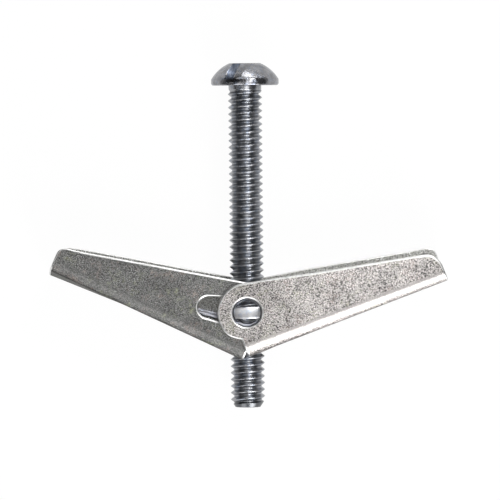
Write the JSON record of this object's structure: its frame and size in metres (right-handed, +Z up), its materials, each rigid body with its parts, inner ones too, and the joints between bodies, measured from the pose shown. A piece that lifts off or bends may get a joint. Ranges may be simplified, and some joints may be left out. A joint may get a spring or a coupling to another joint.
{
  "type": "spring toggle bolt",
  "caption": "Slotted machine screw with a trunnion nut and two spring-opened, folded steel wings for fixing into a hollow wall.",
  "frame": {"origin": "on the screw's axis, in the plane of the face under the head", "axes": "+X across the open wings, +Y along the screw towards its head, +Z along the hinge axis, so the bolt lies on its side with +Z up"},
  "size_m": [0.0744, 0.0641, 0.016],
  "materials": {
    "screw_steel": "bright zinc plate with a bluish cast",
    "nut_steel": "bright zinc plate",
    "wing_steel": "fine-grained zinc plate with bright sheared edges",
    "spring_steel": "drawn spring wire"
  },
  "bodies": {
    "screw": {"screw": "screw_steel"},
    "nut": {"trunnion_nut": "nut_steel", "torsion_spring": "spring_steel"},
    "left_wing": {"left_wing": "wing_steel"},
    "right_wing": {"right_wing": "wing_steel"}
  },
  "joints": [
    {"name": "nut_travel", "type": "slide", "parent": "screw", "child": "nut", "axis": [0, 1, 0], "range_m": [-0.013, 0.0035]},
    {"name": "left_wing_fold", "type": "hinge", "parent": "nut", "child": "left_wing", "pos_m": [0, -0.0421, 0], "axis": [0, 0, -1], "range_deg": [0, 70], "stiffness_Nm_per_rad": 0.06, "springref_deg": -28.65, "deforming": ["torsion_spring"]},
    {"name": "right_wing_fold", "type": "hinge", "parent": "nut", "child": "right_wing", "pos_m": [0, -0.0421, 0], "axis": [0, 0, 1], "range_deg": [0, 70], "stiffness_Nm_per_rad": 0.06, "springref_deg": -28.65, "deforming": ["torsion_spring"]}
  ]
}
